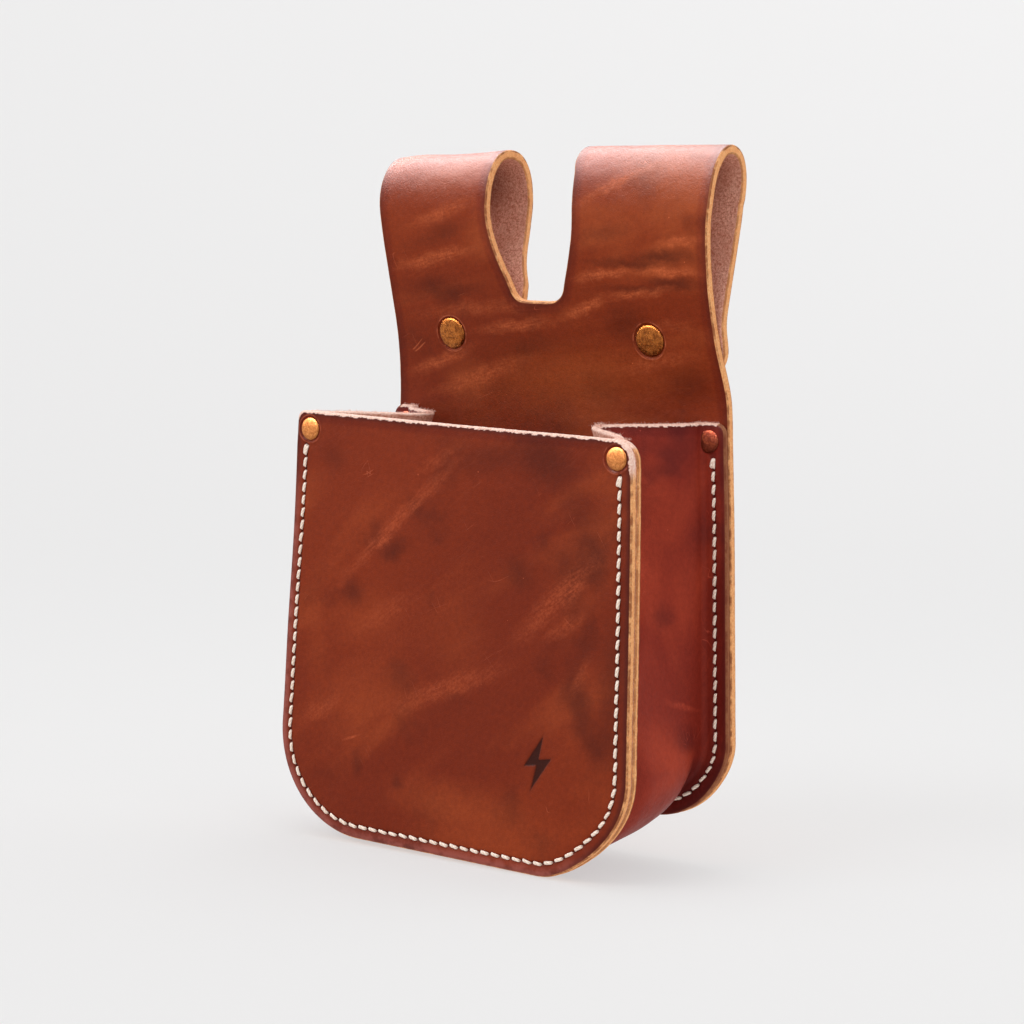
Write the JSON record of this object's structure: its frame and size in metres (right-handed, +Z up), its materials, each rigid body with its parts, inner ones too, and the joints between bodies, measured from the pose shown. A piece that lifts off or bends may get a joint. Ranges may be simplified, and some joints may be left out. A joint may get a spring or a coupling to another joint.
{
  "type": "electrician tool pouch",
  "caption": "Leather tool pouch with a deep flat-fronted pocket, a folding side gusset, riveted corners and two folded belt loops for wearing on a work belt.",
  "frame": {"origin": "centre of the belt's path through the two belt loops, midway across the pouch", "axes": "+X across the pouch along the belt, towards the right loop as seen from the front; +Y towards the wearer; +Z up, so the pocket's front faces -Y"},
  "size_m": [0.1812, 0.0826, 0.2843],
  "materials": {
    "leather_panel": "red-brown pull-up leather, waxed, with pale natural cut edges",
    "leather_gusset": "slightly darker and redder red-brown leather, pale cut edges",
    "thread": "waxed cream thread",
    "brass": "worn, scratched brass"
  },
  "bodies": {
    "root": {"back_panel": "leather_panel", "front_panel": "leather_panel", "gusset": "leather_gusset", "front_seam_face_stitches": "thread", "front_seam_inner_stitches": "thread", "back_seam_inner_stitches": "thread", "back_seam_rear_stitches": "thread", "loop_rivet_left": "brass", "loop_burr_left": "brass", "loop_rivet_right": "brass", "loop_burr_right": "brass", "front_rivet_left": "brass", "front_burr_left": "brass", "front_rivet_right": "brass", "front_burr_right": "brass", "back_rivet_left": "brass", "back_burr_left": "brass", "back_rivet_right": "brass", "back_burr_right": "brass"}
  },
  "joints": []
}
